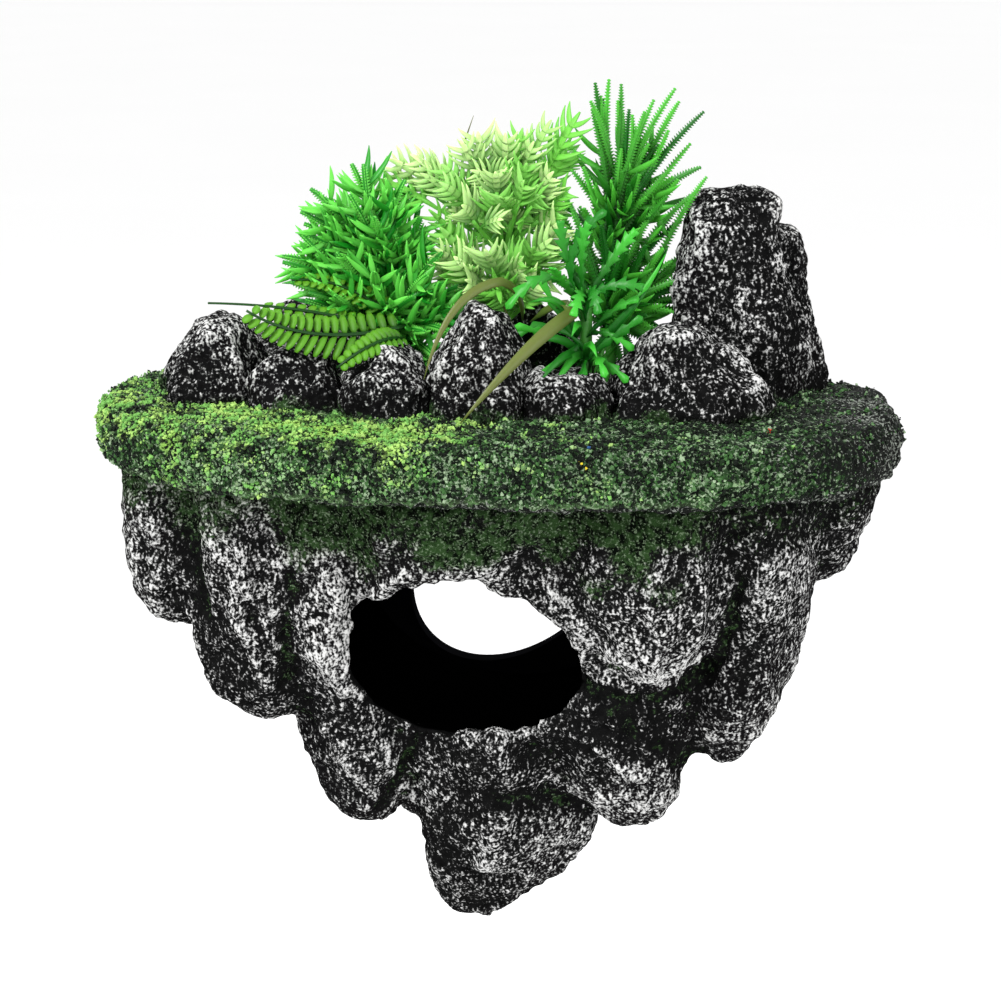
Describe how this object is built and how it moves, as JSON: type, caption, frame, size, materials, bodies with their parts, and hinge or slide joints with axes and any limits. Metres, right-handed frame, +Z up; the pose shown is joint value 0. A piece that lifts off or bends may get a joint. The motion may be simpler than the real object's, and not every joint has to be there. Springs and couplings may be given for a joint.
{
  "type": "aquarium cave ornament",
  "caption": "Wall-hung floating rock ledge with a hollow cave below, mossy rim, standing stones, plug-in plastic plants and suction cups for the glass.",
  "frame": {"origin": "point of the aquarium glass midway between the two upper suction cups", "axes": "+Z up, +X to the viewer's right, +Y from the ornament into the glass it hangs on"},
  "size_m": [0.2, 0.111, 0.2171],
  "materials": {
    "rock_resin": "matte",
    "mossy_resin": "matte",
    "panel_resin": "matte",
    "cup_vinyl": "gloss",
    "stem_plastic": "satin",
    "dark_green_leaf": "satin",
    "fern_leaf": "satin",
    "lime_leaf": "satin",
    "bright_leaf": "satin",
    "grass_leaf": "satin"
  },
  "bodies": {
    "rock": {"ledge": "mossy_resin", "cave_shell": "rock_resin", "back_panel": "panel_resin", "stone_left": "rock_resin", "stone_front_left": "rock_resin", "stone_front_middle": "rock_resin", "stone_front_peak": "rock_resin", "stone_front_low": "rock_resin", "stone_front_right": "rock_resin", "stone_crag": "rock_resin", "stone_rear_right": "rock_resin", "stone_rear_left": "rock_resin", "stone_rear_middle": "rock_resin"},
    "cup_left": {"suction_cup_left": "cup_vinyl"},
    "cup_right": {"suction_cup_right": "cup_vinyl"},
    "cup_lower": {"suction_cup_lower": "cup_vinyl"},
    "fern": {"fern_stem": "stem_plastic", "fern_fronds": "fern_leaf"},
    "needle_plant_left": {"needle_left_stem": "stem_plastic", "needle_left_lower_whorl": "dark_green_leaf", "needle_left_upper_whorl": "dark_green_leaf"},
    "lime_plant": {"lime_stem": "stem_plastic", "lime_lower_whorl": "lime_leaf", "lime_upper_whorl": "lime_leaf"},
    "needle_plant_right": {"needle_right_stem": "stem_plastic", "needle_right_lower_whorl": "dark_green_leaf", "needle_right_upper_whorl": "dark_green_leaf"},
    "curly_plant": {"curly_stem": "stem_plastic", "curly_lower_whorl": "bright_leaf", "curly_upper_whorl": "bright_leaf"},
    "grass": {"grass_stem": "stem_plastic", "grass_blades": "grass_leaf"}
  },
  "joints": [
    {"name": "cup_left_pull", "type": "slide", "parent": "rock", "child": "cup_left", "axis": [0, 1, 0], "range_m": [0, 0.009]},
    {"name": "cup_right_pull", "type": "slide", "parent": "rock", "child": "cup_right", "axis": [0, 1, 0], "range_m": [0, 0.009]},
    {"name": "cup_lower_pull", "type": "slide", "parent": "rock", "child": "cup_lower", "axis": [0, 1, 0], "range_m": [0, 0.009]},
    {"name": "fern_lift", "type": "slide", "parent": "rock", "child": "fern", "axis": [0, 0, 1], "range_m": [0, 0.012]},
    {"name": "needle_left_lift", "type": "slide", "parent": "rock", "child": "needle_plant_left", "axis": [0, 0, 1], "range_m": [0, 0.012]},
    {"name": "lime_lift", "type": "slide", "parent": "rock", "child": "lime_plant", "axis": [0, 0, 1], "range_m": [0, 0.012]},
    {"name": "needle_right_lift", "type": "slide", "parent": "rock", "child": "needle_plant_right", "axis": [0, 0, 1], "range_m": [0, 0.012]},
    {"name": "curly_lift", "type": "slide", "parent": "rock", "child": "curly_plant", "axis": [0, 0, 1], "range_m": [0, 0.012]},
    {"name": "grass_lift", "type": "slide", "parent": "rock", "child": "grass", "axis": [0, 0, 1], "range_m": [0, 0.012]}
  ]
}
